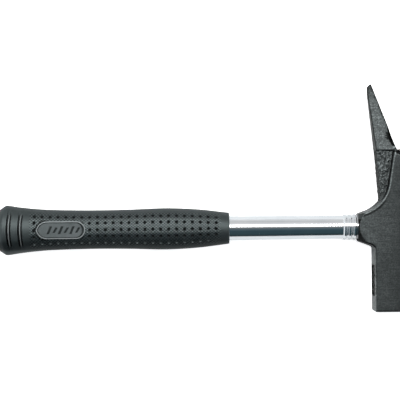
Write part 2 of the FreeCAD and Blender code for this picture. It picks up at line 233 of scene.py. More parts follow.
def grip_surface(x, angle):
    """Points of the grip's bare surface. The angle is 0 on top and a quarter turn at the pick's side."""
    x, angle = np.broadcast_arrays(np.asarray(x, float), np.asarray(angle, float))
    half_y, half_z = grip_radii(x)
    y, z = half_y * np.sin(angle), half_z * np.cos(angle)
    radius = np.hypot(y, z)
    unit_y, unit_z = y / radius, z / radius
    cone_y, cone_z = (half + BUTT_BEVEL_GROWTH * x for half in BUTT_END)
    cone = 1 / np.hypot(unit_y / cone_y, unit_z / cone_z)
    radius = soft_min(radius, cone, BUTT_BEVEL_BLEND)
    for end in (x, GRIP_LENGTH - x):
        inside = np.clip(GRIP_CORNER - end, 0, GRIP_CORNER)
        radius = radius - (GRIP_CORNER - np.sqrt(GRIP_CORNER**2 - inside**2))
    return np.stack([x, radius * unit_y, radius * unit_z], -1)


def sink(points, depth):
    """Moves points of the grip inwards, square to its oval."""
    half_y, half_z = grip_radii(points[..., 0])
    normal = np.stack([points[..., 1] / half_y**2, points[..., 2] / half_z**2], -1)
    normal /= np.linalg.norm(normal, axis=-1, keepdims=True)
    moved = points.copy()
    moved[..., 1:] -= normal * np.asarray(depth)[..., None]
    return moved


def slot_depth(x, y, middle):
    """How deep a cross slot is: two grooves with a low ridge between them, bowed towards the butt."""
    across = x - (middle - SLOT_BOW + SLOT_BOW * (y / 12) ** 2)
    depth = np.zeros(len(x))
    for groove, half_width, deep in SLOT_GROOVES:
        edge = np.abs(across - groove) - half_width
        depth = np.maximum(depth, deep * (1 - smooth_step(0, SLOT_WALL, edge)))
    return depth


def cut_slots(points):
    """Lowers the points of the cross slots. Their floor is flatter than the grip, so they run out."""
    x, y, z = points.T
    for middle in SLOTS_X:
        _, top = grip_radii(np.array(middle))
        depth = slot_depth(x, y, middle)
        floor = top - depth - SLOT_FLOOR_RADIUS + np.sqrt(SLOT_FLOOR_RADIUS**2 - y**2)
        lowered = np.sign(z) * soft_min(np.abs(z), floor, 0.1)
        points[:, 2] = np.where(depth > 0.02, lowered, points[:, 2])
    return points


def dimple_depth(distance):
    """How far the surface lies below the bare grip at a distance from a dimple's middle."""
    pit = DIMPLE_DEPTH * (1 - np.clip(distance / DIMPLE_RADIUS, 0, 1) ** 2)
    shoulder = SHOULDER_DEPTH * (1 - smooth_step(DIMPLE_RADIUS * 0.9, 2.7, distance))
    return pit + shoulder


class PointTable:
    """Points of the grip by their place in the (along, around) plane, so that cells share their borders."""

    def __init__(self):
        self.points = []
        self.index = {}

    def add(self, key, point):
        if key not in self.index:
            self.index[key] = len(self.points)
            self.points.append(point)
        return self.index[key]


def grip_stations():
    """Stations along the grip: (x, ...) before the dimples, over them and after them."""
    cells_start = DIMPLE_FIRST_X - DIMPLE_PITCH / 2
    cells_end = cells_start + DIMPLE_COLUMNS * DIMPLE_PITCH
    corner = [GRIP_CORNER * (1 - math.cos(math.radians(a))) for a in (0, 20, 40, 60, 75, 90)]
    before = np.concatenate([corner, np.arange(1.3, 4.6, 0.8), np.arange(5.0, 9.2, 0.3)])
    before = np.concatenate([before, np.arange(9.2, cells_start - 4.2, 0.19)])
    before = np.concatenate([before, np.linspace(before[-1] + 0.5, cells_start, 6)])
    after = np.linspace(cells_end, GRIP_LENGTH - 1.6, 8)
    after = np.concatenate([after, [GRIP_LENGTH - c for c in corner[::-1]]])
    return before, cells_start, cells_end, after


def grip_angles():
    """Angles round the grip. Every fifth part of each face holds one row of dimples."""
    row_edge = (len(DIMPLE_ROWS) / 2) * DIMPLE_ROW_ANGLE
    face = np.linspace(-row_edge, row_edge, len(DIMPLE_ROWS) * CELL_STEPS + 1)
    flank = np.linspace(row_edge, math.pi - row_edge, FLANK_STEPS + 1)
    return np.concatenate([face[:-1], flank[:-1], face[:-1] + math.pi, flank[:-1] + math.pi])


def has_dimple(column, row):
    """Whether a cell holds a dimple: the badge takes the inner rows near the butt."""
    if column in BADGE_COLUMNS and abs(row) < 2:
        return False
    return not (column == DIMPLE_COLUMNS - 1 and abs(row) == 2)


def dimple_cell(table, faces, column, row, face_turn, cells_start):
    """One cell with a dimple: rings from the pit's middle to the cell's square border."""
    middle_x = cells_start + (column + 0.5) * DIMPLE_PITCH
    middle_angle = row * DIMPLE_ROW_ANGLE + face_turn
    half_x, half_w = DIMPLE_PITCH / 2, GRIP_ARC * DIMPLE_ROW_ANGLE / 2
    steps = CELL_STEPS
    side = np.arange(steps) / steps * 2 - 1
    border = [(t, -1.0) for t in side] + [(1.0, t) for t in side]
    border += [(-t, 1.0) for t in side] + [(-1.0, -t) for t in side]
    border = np.array(border)
    border_mm = border * (half_x, half_w)
    direction = border_mm / np.linalg.norm(border_mm, axis=1, keepdims=True)
    radii = np.array([0.3, 0.58, 0.8, 0.93, 1.0, 1.1, 1.35]) * DIMPLE_RADIUS
    rings = [direction * r for r in radii]
    rings.append(direction * radii[-1] * 0.45 + border_mm * 0.55)
    ring_ids = []
    for k, ring in enumerate(rings):
        bare = grip_surface(middle_x + ring[:, 0], middle_angle + ring[:, 1] / GRIP_ARC)
        sunk = sink(bare, dimple_depth(np.linalg.norm(ring, axis=1)))
        ids = [table.add(("dimple", column, row, face_turn, k, i), p) for i, p in enumerate(sunk)]
        ring_ids.append(ids)
    around_count = (len(DIMPLE_ROWS) * CELL_STEPS + FLANK_STEPS) * 2
    first_angle = (row + len(DIMPLE_ROWS) // 2) * steps + (around_count // 2 if face_turn else 0)
    border_ids = []
    for u, w in border:
        i = column * steps + round((u + 1) / 2 * steps)
        j = (first_angle + round((w + 1) / 2 * steps)) % around_count
        border_ids.append(table.index[("cells", i, j)])
    ring_ids.append(border_ids)
    centre = sink(grip_surface(middle_x, middle_angle)[None], dimple_depth(np.zeros(1)))[0]
    centre_id = table.add(("centre", column, row, face_turn), centre)
    count = len(border)
    for i in range(count):
        after = (i + 1) % count
        faces.append((centre_id, ring_ids[0][i], ring_ids[0][after]))
        for inner, outer in zip(ring_ids, ring_ids[1:]):
            faces.append((inner[i], outer[i], outer[after], inner[after]))


def grip_body():
    """The grip's closed surface with its dimples and slots, and its bore, but without its badges."""
    before, cells_start, cells_end, after = grip_stations()
    angles = grip_angles()
    around = len(angles)
    table, faces = PointTable(), []
    over = np.linspace(cells_start, cells_end, DIMPLE_COLUMNS * CELL_STEPS + 1)
    spans = (("before", before), ("cells", over), ("after", after))
    shared = {("before", len(before) - 1): ("cells", 0), ("after", 0): ("cells", len(over) - 1)}
    for name, stations in (spans[1], spans[0], spans[2]):
        for i, x in enumerate(stations):
            bare = cut_slots(grip_surface(np.full(around, x), angles))
            for j, point in enumerate(bare):
                if (name, i) in shared:
                    table.index[(name, i, j)] = table.index[(*shared[(name, i)], j)]
                else:
                    table.add((name, i, j), point)
    dimpled = set()
    for turn, first in ((0.0, 0), (math.pi, around // 2)):
        for column in range(DIMPLE_COLUMNS):
            for row in DIMPLE_ROWS:
                if has_dimple(column, row):
                    dimple_cell(table, faces, column, row, turn, cells_start)
                    low = first + (row + len(DIMPLE_ROWS) // 2) * CELL_STEPS
                    dimpled.update((column, low + k) for k in range(CELL_STEPS))
    for name, stations in spans:
        for i in range(len(stations) - 1):
            for j in range(around):
                if name == "cells" and (i // CELL_STEPS, j) in dimpled:
                    continue
                corners = ((i, j), (i + 1, j), (i + 1, (j + 1) % around), (i, (j + 1) % around))
                faces.append(tuple(table.index[(name, *corner)] for corner in corners))
    close_grip_ends(table, faces, around, len(after) - 1, angles)
    return new_object("rubber_grip", table.points, faces)


def close_grip_ends(table, faces, around, last, angles):
    """The dished butt, the flat front end and the blind bore for the tube."""
    rings = [[table.index[("before", 0, j)] for j in range(around)]]
    rim = np.array([table.points[i] for i in rings[0]])
    for k, (share, x) in enumerate(((0.9, 0.0), (0.8, 0.12), (0.72, 0.3), (0.4, 0.42), (0.15, 0.45))):
        ring = rim * (0, share, share) + (x, 0, 0)
        rings.append([table.add(("butt", k, j), p) for j, p in enumerate(ring)])
    middle = table.add(("butt middle",), np.array((0.45, 0, 0)))
    for outer, inner in zip(rings, rings[1:]):
        for j in range(around):
            after = (j + 1) % around
            faces.append((outer[j], outer[after], inner[after], inner[j]))
    for j in range(around):
        faces.append((rings[-1][j], rings[-1][(j + 1) % around], middle))
    rings = [[table.index[("after", last, j)] for j in range(around)]]
    bore = ((GRIP_LENGTH, BORE_RADIUS + 0.35), (GRIP_LENGTH - 0.35, BORE_RADIUS))
    bore += ((GRIP_LENGTH / 2, BORE_RADIUS), (BORE_START, BORE_RADIUS))
    for k, (x, radius) in enumerate(bore):
        ring = [(x, radius * math.sin(a), radius * math.cos(a)) for a in angles]
        rings.append([table.add(("bore", k, j), np.array(p)) for j, p in enumerate(ring)])
    for outer, inner in zip(rings, rings[1:]):
        for j in range(around):
            after = (j + 1) % around
            faces.append((outer[j], inner[j], inner[after], outer[after]))
    faces.append(tuple(rings[-1]))


def badge_outline(inset, steps=14):
    """The badge's outline, moved inwards: round towards the head and more pointed towards the butt."""
    low, high = BADGE_X[0] + inset * 1.2, BADGE_X[1] - inset
    half = BADGE_HALF_HEIGHT - inset
    round_middle = high - half
    points = []
    for k in range(2 * steps + 1):
        angle = -math.pi / 2 + math.pi * k / (2 * steps)
        points.append((round_middle + half * math.cos(angle), half * math.sin(angle)))
    point_start = low + half * 1.25
    radius = half * (1.25**2 + 1) / 2
    end = math.atan2(radius - half, point_start - low)
    arc = [math.pi / 2 - (math.pi / 2 - end) * k / steps for k in range(steps + 1)]
    upper = [(point_start - radius * math.cos(a), radius * math.sin(a) - radius + half) for a in arc]
    points += upper + [(x, -y) for x, y in reversed(upper[:-1])]
    return points


def prisms(name, solids):
    """Closed solids in one object, each through (outline, z) levels that have the same number of points."""
    points, faces = [], []
    for outlines in solids:
        first = len(points)
        for outline, z in outlines:
            points += [(x, y, z) for x, y in outline]
        count = len(outlines[0][0])
        for level in range(len(outlines) - 1):
            a = first + level * count
            for i in range(count):
                after = (i + 1) % count
                faces.append((a + i, a + after, a + count + after, a + count + i))
        faces.append(tuple(range(first, first + count)))
        faces.append(tuple(range(len(points) - count, len(points))))
    return new_object(name, points, faces)


def slanted_bar(x, length, side):
    """Levels of a plain engraved bar that leans like a chevron's arm."""
    lean, width = 1.3, 1.9
    low_end, high_end = x - lean, x + lean
    outline = [(low_end, -length), (low_end + width, -length), (high_end + width, length), (high_end, length)]
    middle = np.mean(outline, axis=0)
    floor = [tuple(middle + (np.array(p) - middle) * (0.9, 0.96)) for p in outline]
    levels = ((floor, -BAR_DEPTH), (outline, -0.05), (outline, 0.2))
    return [(points, side * (BADGE_PLATE_Z + above)) for points, above in levels]


def add_badges(grip):
    """The flat badges on both faces: a rim, a sunk plate with a groove round it, and plain slanted bars."""
    for side in (1, -1):
        ditch = [(min(x, 44.0), y) for x, y in badge_outline(-DITCH_WIDTH)]
        cut_level = BADGE_FLOOR_Z - 0.4
        ditch_levels = [(ditch, side * cut_level), (ditch, side * 14.0)]
        boolean(grip, prisms("badge_ditch", [ditch_levels]), "DIFFERENCE")
        outer = [(badge_outline(0.0), 9.0), (badge_outline(0.0), BADGE_RIM_Z - 0.25)]
        outer += [(badge_outline(0.08), BADGE_RIM_Z - 0.08), (badge_outline(0.22), BADGE_RIM_Z)]
        boolean(grip, prisms("badge_pad", [[(o, side * z) for o, z in outer]]), "UNION")
        w = BADGE_RIM_WIDTH
        inner = [(badge_outline(w + 0.1), BADGE_FLOOR_Z), (badge_outline(w), BADGE_FLOOR_Z + 0.15)]
        inner += [(badge_outline(w - 0.06), BADGE_RIM_Z - 0.2), (badge_outline(w - 0.2), BADGE_RIM_Z)]
        inner += [(badge_outline(w - 0.2), BADGE_RIM_Z + 2)]
        boolean(grip, prisms("badge_recess", [[(o, side * z) for o, z in inner]]), "DIFFERENCE")
        plate = [(badge_plate(0.0), BADGE_FLOOR_Z - 0.5), (badge_plate(0.0), BADGE_PLATE_Z - 0.15)]
        plate += [(badge_plate(0.15), BADGE_PLATE_Z)]
        boolean(grip, prisms("badge_plate", [[(o, side * z) for o, z in plate]]), "UNION")
        bars = [slanted_bar(41.5 + 4.3 * k, 3.0 if k % 2 == 0 else 2.1, side) for k in range(6)]
        boolean(grip, prisms("badge_bars", bars), "DIFFERENCE")


def badge_plate(inset):
    """The plate's outline: the badge's, moved in past the groove and cut shorter at the round end."""
    edge = BADGE_RIM_WIDTH + 0.45 + inset
    shorter = 1.1
    middle = (BADGE_X[0] + BADGE_X[1]) / 2
    return [(x - shorter * smooth_step(middle, BADGE_X[1], x), y) for x, y in badge_outline(edge)]


def badge_half_width(x):
    """Half the badge's width at x, and less than nothing beyond its ends."""
    upper = sorted((px, py) for px, py in badge_outline(0.0) if py >= -1e-6)
    return np.interp(x, [p[0] for p in upper], [p[1] for p in upper], left=-1.0, right=-1.0)


def mark_grip(grip):
    """Marks the grip for its material, and the badges' faces.

    "pit" is painted shade: the dimples, the slots, the ditch and the badge's sunk floor and bars are darkened
    where shade falls in them. The low ridge along each slot gets a painted highlight, a light line. "hatch"
    is the cross-hatched zone, and "flank" the side towards the striking face, whose gloss is cut as painted
    shade.
    The painted shade is weaker in the lower dimples than in the upper ones, so that they glint.
    """
    mesh = grip.data
    points = np.zeros(len(mesh.vertices) * 3)
    mesh.vertices.foreach_get("co", points)
    x, y, z = ((points.reshape(-1, 3) - np.array(BUTT)) / MM).T
    half_y, half_z = grip_radii(x)
    turn = np.arctan2(y / half_y, np.abs(z) / half_z)
    column = np.round((x - DIMPLE_FIRST_X) / DIMPLE_PITCH)
    row = np.round(turn / DIMPLE_ROW_ANGLE)
    along = x - DIMPLE_FIRST_X - column * DIMPLE_PITCH
    around = (turn - row * DIMPLE_ROW_ANGLE) * GRIP_ARC
    inside = (column >= 0) & (column < DIMPLE_COLUMNS) & (np.abs(row) <= 2)
    pit = 1 - smooth_step(DIMPLE_RADIUS * 0.78, DIMPLE_RADIUS * 1.08, np.hypot(along, around))
    in_badge = badge_half_width(x) > np.abs(y) - 0.05
    pit = np.where(inside & ~in_badge, pit, 0)
    dimple = pit
    # Painted shade in the dimples, weaker in the lower rows so that they glint.
    pit = pit * (0.1 + 0.9 * smooth_step(-8, -5.2, y))
    # Painted shade on the side towards the striking face: its gloss is cut there, outside the dimples.
    flank = smooth_step(6, 10, -y) * (1 - smooth_step(14.5, 16, -y)) * (1 - dimple)
    rib_highlight = np.zeros(len(x))
    for middle in SLOTS_X:
        fade = 1 - smooth_step(10.5, 13.0, np.abs(y))
        depth = slot_depth(x, y, middle)
        # Painted shade in the slots' deep grooves.
        pit = np.maximum(pit, smooth_step(0.5, 0.85, depth) * fade)
        across = x - (middle - SLOT_BOW + SLOT_BOW * (y / 12) ** 2)
        # Painted highlight: a light line along the low ridge in each slot, brightest a little above the
        # middle.
        line = (1 - smooth_step(0.25, 0.5, np.abs(across - 0.05))) * (depth < 0.5)
        rib_highlight = np.maximum(rib_highlight, line * fade * (0.45 + 0.55 * np.exp(-(((y - 2.0) / 6.0) ** 2))))
    # Painted shade in the ditch round the badge's pointed end, and on the badge's sunk floor and bars.
    ditch = (x < 44.2) & (badge_half_width(np.maximum(x, 32.6) + DITCH_WIDTH) > np.abs(y) - 1.2) & (x > 30.5)
    pit = np.maximum(pit, ditch & ~in_badge & (np.abs(z) < BADGE_FLOOR_Z - 0.1) & (np.abs(z) > 10.9))
    pit = np.maximum(pit, 0.7 * (in_badge & (np.abs(z) < BADGE_PLATE_Z - 0.2) & (np.abs(z) > 10.9)))
    zone = ((x > 27.0) & (x < 172.8) & (np.abs(turn) < 0.9) & ~in_badge) * (1 - dimple)
    for name, values in (("pit", pit), ("rib_highlight", rib_highlight), ("hatch", zone), ("flank", flank)):
        layer = mesh.attributes.new(name, "FLOAT", "POINT")
        layer.data.foreach_set("value", np.asarray(values, float))
    centres = np.zeros(len(mesh.polygons) * 3)
    mesh.polygons.foreach_get("center", centres)
    x, y, z = ((centres.reshape(-1, 3) - np.array(BUTT)) / MM).T
    in_badge = badge_half_width(x) > np.abs(y) - 0.01
    height = np.abs(z)
    kind = np.where(in_badge & (height > BADGE_PLATE_Z - 0.12), 1, 0)
    # The raised rim gets its own, much lighter material: a painted highlight.
    kind = np.where(in_badge & (height > BADGE_PLATE_Z + 0.12), 2, kind)
    mesh.polygons.foreach_set("material_index", kind)


# ---------------------------------------------------------------- tube


def lathe(name, profile, segments=128, smooth_angle=math.radians(40)):
    """A closed solid of revolution about the handle's axis, from a closed ring of (x, radius) points."""
    points, faces = [], []
    for x, radius in profile:
        for j in range(segments):
            angle = 2 * math.pi * j / segments
            points.append((x, radius * math.sin(angle), radius * math.cos(angle)))
    count = len(profile)
    for i in range(count):
        after_i = (i + 1) % count
        for j in range(segments):
            after_j = (j + 1) % segments
            ring, after_ring = i * segments, after_i * segments
            faces.append((ring + j, ring + after_j, after_ring + after_j, after_ring + j))
    return new_object(name, points, faces, smooth_angle)


def tube_profile():
    """The tube's outside from the grip to the belled end, then its bore back to the start."""
    crest, valley = BEAD_RADIUS, BEAD_VALLEY_RADIUS
    outside = [(TUBE_START, TUBE_RADIUS_GRIP - 0.3), (TUBE_START + 0.3, TUBE_RADIUS_GRIP)]
    outside += [(GRIP_LENGTH - 20, TUBE_RADIUS_GRIP), (GRIP_LENGTH, TUBE_RADIUS_GRIP)]
    foot = TUBE_RADIUS_GRIP + (TUBE_RADIUS_NECK - TUBE_RADIUS_GRIP) * 0.98
    outside += [(BEAD_START - 0.6, foot), (BEAD_START - 0.1, TUBE_RADIUS_NECK + 0.05)]
    outside += [(BEAD_START + 0.2, crest - 0.6), (BEAD_START + 0.5, crest - 0.18), (BEAD_START + 0.9, crest)]
    steps = 14
    for i in range(BEAD_COUNT):
        middle = BEAD_START + BEAD_FIRST_VALLEY + i * BEAD_PITCH
        last = steps // 2 if i == BEAD_COUNT - 1 else steps
        for k in range(last + 1):
            angle = math.pi * k / steps
            edge = 0.08 * math.sin(2 * angle) ** 2
            x = middle - BEAD_VALLEY_WIDTH / 2 * math.cos(angle)
            outside.append((x, crest - (crest - valley) * math.sin(angle) - edge))
    outside += [(NECK_X - 0.02, valley), (NECK_X - 0.02, TUBE_RADIUS_NECK)]
    outside += [(FLARE_START, TUBE_RADIUS_NECK), (FLARE_END - 0.25, FLARE_RADIUS - 0.03)]
    outside += [(FLARE_END, FLARE_RADIUS - 0.3)]
    bore = TUBE_RADIUS_NECK - TUBE_WALL
    inside = [(FLARE_END, FLARE_RADIUS - TUBE_WALL), (FLARE_START, bore), (TUBE_START, bore)]
    return outside + inside


# ---------------------------------------------------------------- head


def head_forging():
    """The head's own surface, evenly meshed from its CAD solid, with rounded edges and forged skin."""
    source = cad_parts["head"]
    obj = bpy.data.objects.new("forged_head", source.data.copy())
    bpy.context.scene.collection.objects.link(obj)
    remesh = obj.modifiers.new("even mesh", "REMESH")
    remesh.mode = "VOXEL"
    remesh.voxel_size = HEAD_VOXEL
    wrap = obj.modifiers.new("true surface", "SHRINKWRAP")
    wrap.target = source
    wrap.wrap_method = "NEAREST_SURFACEPOINT"
    with_modifiers(obj)
    relax = obj.modifiers.new("rounded edges", "SMOOTH")
    relax.factor = 0.5
    relax.iterations = 2
    with_modifiers(obj)
    rough_forging(obj.data)
    obj.data.materials.clear()
    for polygon in obj.data.polygons:
        polygon.use_smooth = True
    return obj


def vertex_arrays(mesh):
    """Vertex positions in metres and normals, as arrays."""
    place_m, normal = np.zeros(len(mesh.vertices) * 3), np.zeros(len(mesh.vertices) * 3)
    mesh.vertices.foreach_get("co", place_m)
    mesh.vertices.foreach_get("normal", normal)
    return place_m.reshape(-1, 3), normal.reshape(-1, 3)


def rough_forging(mesh):
    """Forging scale on the web, faint on the other faces that aren't ground. Marks every zone's tone."""
    place_m, normal = vertex_arrays(mesh)
    x, y, z = ((place_m - np.array(BUTT)) / MM).T
    depth, level = np.abs(z), np.abs(normal[:, 2])
    web = smooth_step(10, 13, y) * (1 - smooth_step(57.5, 59.5, y)) * (1 - smooth_step(8.8, 9.6, depth))
    pick = smooth_step(57.5, 59.5, y) * (1 - smooth_step(9, 10, depth))
    wall = (1 - smooth_step(0.985, 0.999, level)) * 0.12 * (1 - smooth_step(57, 60, y))
    strength = np.maximum(np.maximum(web, pick * 0.22), wall)
    lump, wear = np.zeros(len(x)), np.zeros(len(x))
    for i in np.nonzero(strength > 0.02)[0]:
        p = Vector((x[i], y[i], z[i]))
        coarse = noise.noise(p / 2.1)
        fine = noise.noise(p / 0.9 + Vector((7, 3, 5)))
        hollow = noise.noise(p / 1.4 + Vector((1, 9, 4)))
        lump[i] = 0.28 * coarse + 0.42 * fine - 0.4 * max(0.0, hollow - 0.12)
        wear[i] = 0.5 * coarse + fine - 1.1 * max(0.0, hollow - 0.05)
    rough_place = np.clip(place_m + normal * (lump * strength * MM)[:, None], CAD_BOX[0], CAD_BOX[1])
    mesh.vertices.foreach_set("co", rough_place.ravel())
    mesh.update()
    mark_head(mesh, x, y, depth, normal, web, pick, wear)


def pick_shade(x, y, wear):
    """How light the pick's flats are: darker at the edges and tip, with a ragged dark patch on the right."""
    left = np.interp(y, (58.5, 102.0, 107.0), (292.2, 286.65, 286.65))
    right = np.interp(y, (54.0, 109.3), (310.1, 289.9))
    shade = 0.2 + 0.8 * smooth_step(0.5, 1.1, x - left)
    ragged = 1.0 + 2.6 * wear + 4.0 * np.exp(-(((y - 68.5) / 4.5) ** 2))
    shade *= 0.03 + 0.97 * smooth_step(ragged - 0.35, ragged + 0.35, right - x)
    return shade * (1 - 0.55 * smooth_step(98, 106, y))


def mark_head(mesh, x, y, depth, normal, web, pick, wear):
    """Stores how light, how glossy and how rough each part of the head's surface is."""
    # The tone holds painted highlights, sheen, reflection and shade as well as the lacquer's own tone.
    level = np.abs(normal[:, 2])
    flat = smooth_step(0.75, 0.93, level)
    cheek = smooth_step(12.86, 12.98, depth)
    chamfer = smooth_step(12.2, 12.5, depth) * (1 - cheek)
    # Painted sheen: the cheeks are lighter towards the neck, and the striking part's cheek towards the
    # handle's side.
    neck_sheen_fade = smooth_step(281, 318, x)
    cheek_tone = 0.036 - 0.030 * neck_sheen_fade
    striking = 1 - smooth_step(-26, -8, y)
    cheek_tone = cheek_tone * (1 - striking) + (0.017 - 0.014 * smooth_step(292, 314, x)) * striking
    chamfer_painted_highlight = smooth_step(10, 20, y) * (1 - smooth_step(66, 72, y))
    neck_painted_highlight = smooth_step(3, 8, y) * (1 - smooth_step(14, 24, y)) * (1 - smooth_step(296, 304, x))
    tone = np.full(len(x), 0.0035)
    # Painted highlight along the neck's upper side, which faces the light.
    tone += neck_painted_highlight * (depth > 2) * smooth_step(281, 284, x) * 0.09
    # Painted highlight on the cheek's chamfer between the neck and the pick.
    tone += chamfer * chamfer_painted_highlight * 0.12
    nose = (x < 291.5) & (y > -16) & (y < 12)
    # Painted highlight: a light line along the cheek's edge near the handle.
    nose_edge_highlight = smooth_step(12.5, 12.75, depth) * (1 - smooth_step(12.95, 12.99, depth)) * nose
    tone += nose_edge_highlight * 0.07 * smooth_step(-12, -4, y)
    shoulder = np.hypot(x - NECK_FILLET[0], y - NECK_FILLET[1]) - NECK_FILLET[2]
    painted_shade_line = smooth_step(0.0, 0.35, shoulder) * (1 - smooth_step(1.3, 1.9, shoulder))
    painted_shade_line *= (1 - smooth_step(295, 304, x)) * (y < 30) * (y > 5)
    # Painted shade: a dark line on the cheek just outside its fillet round the neck, with less gloss there.
    cheek_tone = cheek_tone * (1 - 0.85 * painted_shade_line)
    near_side = (y < -15.5) & (x < 292.5)
    # Painted reflection: the side that faces the handle is much lighter, as glossy lacquer seen at a grazing
    # angle; in the panel's reach it is mottled by the wear noise.
    near_side_reflection = 0.06 * np.where((y > -53) & (y < -28) & (depth > 7), np.clip(1 + 5 * wear, 0.1, 3.0), 1.0)
    tone = np.where(near_side & (depth < 12.4), near_side_reflection, tone)
    web_tone = np.clip(0.03 + 0.17 * wear, 0.002, 0.16)
    tone = tone * (1 - web * flat) + web_tone * web * flat
    shade = pick_shade(x, y, wear)
    pick_tone = np.clip(0.044 + 0.085 * wear, 0.008, 0.1) * shade
    tone = tone * (1 - pick * flat) + pick_tone * pick * flat
    light_spot = np.exp(-(((x - LIGHT_SPOT[0]) / 1.0) ** 2) - ((y - LIGHT_SPOT[1]) / 0.6) ** 2) * smooth_step(5, 7, depth)
    tone += 0.3 * light_spot
    tone = tone * (1 - cheek) + cheek_tone * cheek
    # Painted shade: the sunk marking panel is nearly black and dull.
    panel_painted_shade = (y > PANEL_Y[0] - 0.2) & (y < PANEL_Y[1] + 0.2) & (depth < PANEL_HALF_HEIGHT + 0.6) & (x < 292.6)
    tone = np.where(panel_painted_shade, 0.0015, tone)
    gloss = np.where(panel_painted_shade, 0.03, 0.5) * (1 - 0.25 * cheek)
    gloss = np.where((y > 14) & (x < 310) & (level < np.where(y > 58.5, 0.9, 0.6)), 0.12, gloss)
    gloss = np.where(nose & (cheek < 0.5) & (y < 6), 0.06, gloss)
    gloss *= (1 - 0.6 * painted_shade_line * cheek) * (1 - 0.85 * pick * flat * (1 - shade))
    scaly = np.maximum(web * flat, 0.55 * pick * flat)
    rough = 0.26 + 0.16 * np.maximum(cheek, np.maximum(web, pick) * flat)
    for name, values in (("tone", tone), ("gloss", gloss), ("coarseness", rough), ("scaly", scaly)):
        layer = mesh.attributes.new(name, "FLOAT", "POINT")
        layer.data.foreach_set("value", values)


# ---------------------------------------------------------------- materials


def add(tree, kind, values=None, **settings):
    """Adds a node. A value that is a socket is linked, and any other is set."""
    node = tree.nodes.new(kind)
    for key, value in settings.items():
        setattr(node, key, value)
    for key, value in (values or {}).items():
        if isinstance(value, bpy.types.NodeSocket):
            tree.links.new(value, node.inputs[key])
        else:
            node.inputs[key].default_value = value
    return node


def math_node(tree, operation, a, b=0.0):
    return add(tree, "ShaderNodeMath", {0: a, 1: b}, operation=operation).outputs[0]


def ramp(tree, value, *stops):
    """A colour ramp through (position, grey or colour) stops."""
    node = add(tree, "ShaderNodeValToRGB", {"Fac": value})
    band = node.color_ramp
    while len(band.elements) < len(stops):
        band.elements.new(0.5)
    for element, (position, colour) in zip(band.elements, stops):
        element.position = position
        grey = isinstance(colour, (int, float))
        element.color = (colour, colour, colour, 1) if grey else (*colour, 1)
    return node.outputs[0]


def mix(tree, factor, a, b):
    node = add(tree, "ShaderNodeMix", data_type="RGBA")
    for socket, value in zip((node.inputs[0], node.inputs[6], node.inputs[7]), (factor, a, b)):
        if isinstance(value, bpy.types.NodeSocket):
            tree.links.new(value, socket)
        else:
            socket.default_value = value if isinstance(value, float) else (*value, 1)
    return node.outputs[2]


def noise_texture(tree, coords, scale, detail=4.0, roughness=0.55):
    values = {"Vector": coords, "Scale": scale, "Detail": detail, "Roughness": roughness}
    return add(tree, "ShaderNodeTexNoise", values).outputs["Fac"]


def bump(tree, height, distance, strength=1.0, below=None):
    values = {"Height": height, "Distance": distance, "Strength": strength}
    if below is not None:
        values["Normal"] = below
    return add(tree, "ShaderNodeBump", values).outputs[0]


def material(name, **shader_values):
    """A new material. Returns it with its tree, its shader and object coordinates."""
    result = bpy.data.materials.new(name)
    result.use_nodes = True
    tree = result.node_tree
    shader = tree.nodes["Principled BSDF"]
    for key, value in shader_values.items():
        shader.inputs[key.replace("_", " ")].default_value = value
    coords = add(tree, "ShaderNodeTexCoord").outputs["Object"]
    return result, tree, shader, coords


def stretched(tree, coords, scale):
    return add(tree, "ShaderNodeMapping", {"Vector": coords, "Scale": scale}).outputs[0]


